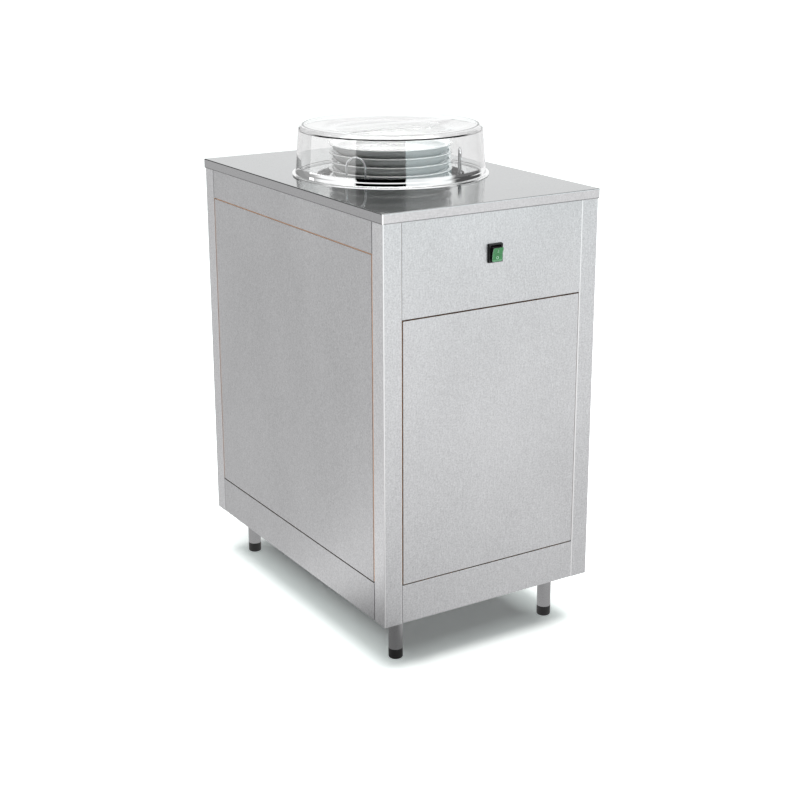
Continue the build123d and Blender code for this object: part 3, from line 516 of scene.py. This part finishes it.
# ---------------------------------------------------------------- finishes of the nodes
SHEET = {"roughness": SHEET_ROUGHNESS, "grain": UPRIGHT_GRAIN}
MATERIALS = {
    "steel_upright": brushed("steel_upright", STEEL, contrast=0.20, **SHEET),
    # The posts: a painted highlight on their rounded corners.
    "steel_post": brushed("steel_post", STEEL, contrast=0.20, corners=CORNER_HIGHLIGHT, **SHEET),
    # The side panels and rails: a shaded copy of the steel, with painted shade that takes faces that look up
    # down to a tenth.
    "steel_side_shaded": brushed("steel_side_shaded", SIDE_STEEL_SHADED, contrast=0.22, upward=0.1, **SHEET),
    "steel_leg": plain_metal("steel_leg", LEG_STEEL, 0.30, scale=1400.0, contrast=0.05, depth=0.00001),
    # The worktop: painted shade on its faces that look up, on its left and right ends, in its fold and at its
    # joint, and a painted highlight on its rounded corners.
    "steel_top": brushed(
        "steel_top", STEEL, TOP_ROUGHNESS, CROSSWISE_GRAIN, contrast=0.10, depth=0.00001, spread=0.015,
        upward=0.75, corners=CORNER_HIGHLIGHT, ends=0.66, seam=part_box("worktop_skin")[0][2],
    ),
    "galvanised": plain_metal("galvanised", (0.50, 0.51, 0.52), 0.38, scale=60.0, contrast=0.10),
    "chrome_wire": plain_metal(
        "chrome_wire", (0.66, 0.67, 0.68), 0.08, scale=300.0, contrast=0.02, depth=0.00001,
    ),
    "spring_steel": plain_metal("spring_steel", (0.34, 0.34, 0.35), 0.30),
    "zinc": plain_metal("zinc", (0.62, 0.63, 0.61), 0.32),
    "heater": plain_metal("heater", (0.22, 0.19, 0.17), 0.5, scale=120.0, contrast=0.25),
    "black_plastic": plastic("black_plastic", (0.012, 0.012, 0.012), 0.38),
    "black_foot": plastic("black_foot", (0.010, 0.010, 0.010), 0.45),
    "pale_plastic": plastic("pale_plastic", (0.72, 0.70, 0.63), 0.45),
    "phenolic": plastic("phenolic", (0.045, 0.025, 0.018), 0.42),
    "mark": plastic("mark_print", (0.55, 0.92, 0.66), 0.35),
    "board": board_material("board_edge"),
    # The left board's edges: a painted glow that lightens them in their gap.
    "board_painted_glow": board_material("board_painted_glow", glow=0.28),
    "board_sealed": sealed_board_material(),
    "ceramic": ceramic_material(),
    "wool": wool_material(),
    "lid": lid_material(*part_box("lid")),
    "rocker": rocker_material(*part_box("switch_housing")),
}
# A node takes the finish of the first name here that its own name starts with.
FINISHES = (
    ("lid", "lid"),
    ("plate_", "ceramic"),
    ("worktop_skin", "steel_top"),
    ("worktop_board", "board_sealed"),
    ("post_", "steel_post"),
    ("infill_board_left", "board_painted_glow"),
    ("infill_board", "board"),
    ("infill_face_left", "steel_side_shaded"),
    ("infill_face_right", "steel_side_shaded"),
    ("top_rail_left", "steel_side_shaded"),
    ("top_rail_right", "steel_side_shaded"),
    ("base_rail_left", "steel_side_shaded"),
    ("base_rail_right", "steel_side_shaded"),
    ("switch_housing", "black_plastic"),
    ("switch_rocker", "rocker"),
    ("foot_", "black_foot"),
    ("leg_inserts", "black_plastic"),
    ("leg_bolts", "zinc"),
    ("leg_", "steel_leg"),
    ("ring_screws", "zinc"),
    ("panel_clips", "zinc"),
    ("wire_guide", "chrome_wire"),
    ("guide_rods", "chrome_wire"),
    ("guide_brackets", "galvanised"),
    ("well_insulation", "wool"),
    ("well_", "galvanised"),
    ("carrier_bushes", "pale_plastic"),
    ("carrier_", "galvanised"),
    ("lift_springs", "spring_steel"),
    ("heater_element", "heater"),
    ("thermostat", "phenolic"),
    ("terminal_block", "pale_plastic"),
    ("supply_gland", "black_plastic"),
    ("", "steel_upright"),
)


def finish_of(name):
    return next(finish for start, finish in FINISHES if name.startswith(start))


for node_name, node in NODES.items():
    node.data.materials.clear()
    node.data.materials.append(MATERIALS[finish_of(node_name)])

NODES["lid"].visible_shadow = False


# ---------------------------------------------------------------- switch marks
HOUSING_LOW, HOUSING_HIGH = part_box("switch_housing")
ROCKER_PIVOT_Y = -0.348
ROCKER_CENTRE = Vector((0.0, ROCKER_PIVOT_Y, (HOUSING_LOW[2] + HOUSING_HIGH[2]) / 2))
ROCKER_TILT = math.radians(10)
ROCKER_CREST = 0.0105
ROCKER_WAIST = 0.0086
MARK_AT = 0.0060
MARK_HEIGHT = 0.00015
MARK_EDGE = 0.00005
BAR_SIZE = (0.0016, 0.0056)
RING_RADII = (0.0028, 0.0015)


def piece_from(bm, name, mat):
    """Turns a finished bmesh into an object in the scene."""
    mesh = bpy.data.meshes.new(name)
    bm.to_mesh(mesh)
    bm.free()
    mesh.materials.append(mat)
    piece = bpy.data.objects.new(name, mesh)
    scene.collection.objects.link(piece)
    return piece


def soften(piece, width, segments, angle=30.0):
    """Rounds a piece's sharp edges."""
    edge = piece.modifiers.new("soften", "BEVEL")
    edge.width = width
    edge.segments = segments
    edge.limit_method = "ANGLE"
    edge.angle_limit = math.radians(angle)


def rocker_face(side):
    """The frame of one slanted half of the rocker's face: side 1 is the upper half, -1 the lower."""
    out = Vector((0, -math.cos(ROCKER_TILT), -math.sin(ROCKER_TILT)))
    up = Vector((0, -math.sin(ROCKER_TILT), math.cos(ROCKER_TILT)))
    slope = (ROCKER_CREST - ROCKER_WAIST) / ROCKER_HALF_H
    along = (up * side + out * slope).normalized()
    face = Matrix.Identity(4)
    face.col[0][:3] = Vector((1, 0, 0))
    face.col[1][:3] = along * side
    face.col[2][:3] = (out - up * side * slope).normalized()
    face.col[3][:3] = ROCKER_CENTRE + up * side * MARK_AT + out * (ROCKER_WAIST + slope * MARK_AT)
    return face


def printed_mark(name, outline, hole, face):
    """A mark of thick print on the rocker's face: an outline, with a hole in it if one is given."""
    bm = bmesh.new()
    rings = [[bm.verts.new((x, y, 0.0)) for x, y in loop] for loop in (outline, hole) if loop]
    if hole:
        outer, inner = rings
        for i, corner in enumerate(outer):
            bm.faces.new((outer[i - 1], corner, inner[i], inner[i - 1]))
    else:
        bm.faces.new(rings[0])
    bmesh.ops.recalc_face_normals(bm, faces=bm.faces)
    raised = bmesh.ops.extrude_face_region(bm, geom=list(bm.faces))["geom"]
    top = [item for item in raised if isinstance(item, bmesh.types.BMVert)]
    bmesh.ops.translate(bm, verts=top, vec=(0, 0, MARK_HEIGHT))
    bmesh.ops.recalc_face_normals(bm, faces=bm.faces)
    bm.transform(face)
    mark = piece_from(bm, name, MATERIALS["mark"])
    soften(mark, MARK_EDGE, segments=2)
    return mark


def circle(radius, steps=40):
    angles = [2 * math.pi * i / steps for i in range(steps)]
    return [(radius * math.cos(a), radius * math.sin(a)) for a in angles]


def stadium(width, height, steps=10):
    """A bar with round ends."""
    r = width / 2
    arc = [math.pi * i / steps for i in range(steps + 1)]
    head = [(r * math.cos(a), height / 2 - r + r * math.sin(a)) for a in arc]
    foot = [(-x, -y) for x, y in head]
    return head + foot


mark_on = printed_mark("rocker_mark_on", stadium(*BAR_SIZE), None, rocker_face(1))
mark_off = printed_mark("rocker_mark_off", circle(RING_RADII[0]), circle(RING_RADII[1]), rocker_face(-1))
for mark in (mark_on, mark_off):
    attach(mark, "rocker")

soften(NODES["switch_rocker"], 0.0007, segments=3, angle=40.0)


# ---------------------------------------------------------------- stage
WORLD_FILL = 0.14
FLOOR_HALF = 30.0
FLOOR_SEEN = (0.93, 0.94, 0.93, 1.0)
FLOOR_PALE = grey(0.80)
FLOOR_GLOW = 0.08
FLOOR_GLOW_RISE = 0.95
FLOOR_TINT = (0.93, 1.02, 1.0, 1.0)
SHADOW_INSET = 0.10
SHADOW_RATE = (6.0, 3.0, 0.0)
NEAR_GROUND = 0.4
FAR_GROUND = 2.0
# What mirrors see, by the angle to the right of the camera's side, in degrees.
SKY = [
    (-180, 1.0), (-168, 0.95), (-156, 0.3), (-106, 0.3), (-92, 0.95), (-45, 0.95), (-40, 0.12), (17, 0.12),
    (20, 0.78), (40, 0.80), (56, 0.95), (76, 0.95), (86, 0.08), (132, 0.08), (142, 0.95), (180, 1.0),
]
SKY_TOP = 1.06
SKY_TOP_START = 0.66
SKY_TOP_FULL = 0.84
GROUND_FAR = [
    (-180, 0.90), (-140, 0.84), (-116, 0.82), (-96, 0.84), (-78, 1.15), (-62, 1.15), (-50, 0.7),
    (-38, 0.35), (15, 0.35), (24, 1.06), (50, 1.26), (64, 1.08), (108, 0.98), (180, 0.90),
]
GROUND_NEAR = [
    (-180, 0.90), (-140, 0.84), (-116, 0.83), (-96, 0.84), (-78, 1.12), (-62, 1.12), (-50, 0.7),
    (-38, 0.35), (15, 0.35), (24, 0.76), (64, 0.78), (108, 0.84), (180, 0.90),
]
SKY_TINT = (0.99, 1.0, 1.0, 1.0)
GROUND_TINT = (1.0, 0.995, 1.0, 1.0)
FLAG_DISTANCE = 4.0
FLAG_STEPS = 24


def seen_rays(net):
    """1 for rays that show the background: camera, mirror and glass rays that have met nothing dull."""
    path = net.add("ShaderNodeLightPath").outputs
    shown = net.math("ADD", path["Is Camera Ray"], path["Is Glossy Ray"])
    shown = net.math("ADD", shown, path["Is Transmission Ray"], clamp=True)
    dull = net.math("MINIMUM", path["Diffuse Depth"], 1.0)
    return path, net.product(shown, net.flip(dull))


def around(net, direction, stops):
    """A level that changes round the object, from a list of (degrees, level)."""
    side = net.measure("DOT_PRODUCT", direction, RIGHT)
    ahead = net.measure("DOT_PRODUCT", direction, CAMERA_SIDE)
    turn = net.math("DEGREES", net.math("ARCTAN2", side, ahead))
    top = max(level for _, level in stops)
    shares = [((degrees + 180) / 360, level / top) for degrees, level in stops]
    return net.product(net.ramp(net.step(turn, -180.0, 180.0), shares), top)


def make_world():
    """White for the camera and through glass. Mirrors see a studio, dark at the camera, with pale sides."""
    world = bpy.data.worlds.new("studio")
    scene.world = world
    world.use_nodes = True
    net = Net(world.node_tree, "ShaderNodeOutputWorld")
    path, shown = seen_rays(net)
    direction = net.add("ShaderNodeTexCoord").outputs["Generated"]
    climb = net.step(net.split(direction)[2], SKY_TOP_START, SKY_TOP_FULL)
    sides = net.product(around(net, direction, SKY), net.flip(climb))
    level = net.math("MULTIPLY_ADD", climb, SKY_TOP, sides)
    studio = net.add("ShaderNodeBackground", {"Color": SKY_TINT, "Strength": level})
    fill = net.remap(shown, 0.0, 1.0, WORLD_FILL, 1.0)
    plain = net.add("ShaderNodeBackground", {"Color": WHITE, "Strength": fill})
    net.show(net.blend(net.product(path["Is Glossy Ray"], shown), plain, studio))


def floor_glow(net, path, shown, place):
    """The light that fades the floor to white: faint under the object, more with the distance from it."""
    inset = (CAD_BOX[1][0] - SHADOW_INSET, CAD_BOX[1][1] - SHADOW_INSET, 0.0)
    beyond = net.vector("SUBTRACT", net.vector("ABSOLUTE", place), inset)
    beyond = net.vector("MAXIMUM", beyond, (0.0, 0.0, 0.0))
    beyond = net.measure("LENGTH", net.vector("MULTIPLY", beyond, SHADOW_RATE))
    far = net.remap(beyond, 0.0, FLOOR_GLOW_RISE, FLOOR_GLOW, FLOOR_GLOW + FLOOR_GLOW_RISE)
    level = net.math("MAXIMUM", net.product(far, path["Is Camera Ray"]), net.product(shown, FLOOR_GLOW))
    return net.add("ShaderNodeEmission", {"Color": FLOOR_TINT, "Strength": level})


def make_floor():
    """A pale floor that fades to the white background, and shows mirrors the studio's levels."""
    mat = bpy.data.materials.new("floor")
    mat.use_nodes = True
    net = Net(mat.node_tree)
    path, shown = seen_rays(net)
    place = net.place()
    colour = net.tint(path["Is Camera Ray"], FLOOR_PALE, FLOOR_SEEN)
    diffuse = net.add("ShaderNodeBsdfDiffuse", {"Color": colour})
    glow = floor_glow(net, path, shown, place)
    lit = net.add("ShaderNodeAddShader", {0: diffuse.outputs[0], 1: glow.outputs[0]})
    distant = net.step(net.measure("LENGTH", place), NEAR_GROUND, FAR_GROUND)
    level = net.math(
        "ADD",
        net.product(around(net, place, GROUND_FAR), distant),
        net.product(around(net, place, GROUND_NEAR), net.flip(distant)),
    )
    studio = net.add("ShaderNodeEmission", {"Color": GROUND_TINT, "Strength": level})
    net.show(net.blend(net.product(path["Is Glossy Ray"], shown), lit, studio))
    bm = bmesh.new()
    bmesh.ops.create_grid(bm, x_segments=8, y_segments=8, size=FLOOR_HALF)
    floor = piece_from(bm, "floor", mat)


def make_flag(name, turn, spread, bottom, top, colour, strength):
    """A curved card for mirrors and glass only. turn is its middle, in degrees right of the camera's side."""
    mat = bpy.data.materials.new(name)
    mat.use_nodes = True
    net = Net(mat.node_tree)
    net.show(net.add("ShaderNodeEmission", {"Color": (*colour, 1.0), "Strength": strength}))
    bm = bmesh.new()
    start = math.atan2(CAMERA_SIDE.y, CAMERA_SIDE.x) + math.radians(turn - spread / 2)
    rows = []
    for i in range(FLAG_STEPS + 1):
        a = start + math.radians(spread * i / FLAG_STEPS)
        x = FLAG_DISTANCE * math.cos(a)
        y = FLAG_DISTANCE * math.sin(a)
        rows.append((bm.verts.new((x, y, bottom)), bm.verts.new((x, y, top))))
    for left, right in zip(rows, rows[1:]):
        bm.faces.new((left[0], right[0], right[1], left[1]))
    card = piece_from(bm, name, mat)
    card.visible_camera = False
    card.visible_diffuse = False
    card.visible_shadow = False


def area_lamp(name, place, aim, side, power):
    """A square lamp. Mirrors don't see it: they see the studio instead."""
    data = bpy.data.lights.new(name, "AREA")
    data.shape = "RECTANGLE"
    data.size = side
    data.size_y = side
    data.energy = power
    lamp = bpy.data.objects.new(name, data)
    scene.collection.objects.link(lamp)
    lamp.visible_glossy = False
    lamp.location = place
    lamp.rotation_euler = (Vector(aim) - Vector(place)).to_track_quat("-Z", "Y").to_euler()


make_world()
make_floor()
make_flag("flag_dark", -11.5, 59.0, bottom=0.0, top=5.0, colour=(0.0, 0.0, 0.0), strength=0.0)
make_flag("flag_window", 47.0, 58.0, bottom=0.55, top=1.30, colour=(0.84, 0.98, 1.0), strength=1.8)
make_flag("flag_left", -76.0, 70.0, bottom=0.55, top=1.30, colour=(1.0, 1.0, 1.0), strength=1.6)
area_lamp("key", (0.9, -1.2, 4.8), aim=(0.0, 0.0, 0.4), side=2.4, power=60)
area_lamp("top", (-0.1, 0.0, 4.8), aim=(-0.1, 0.0, 0.4), side=4.0, power=270)

scene.view_settings.view_transform = "Standard"
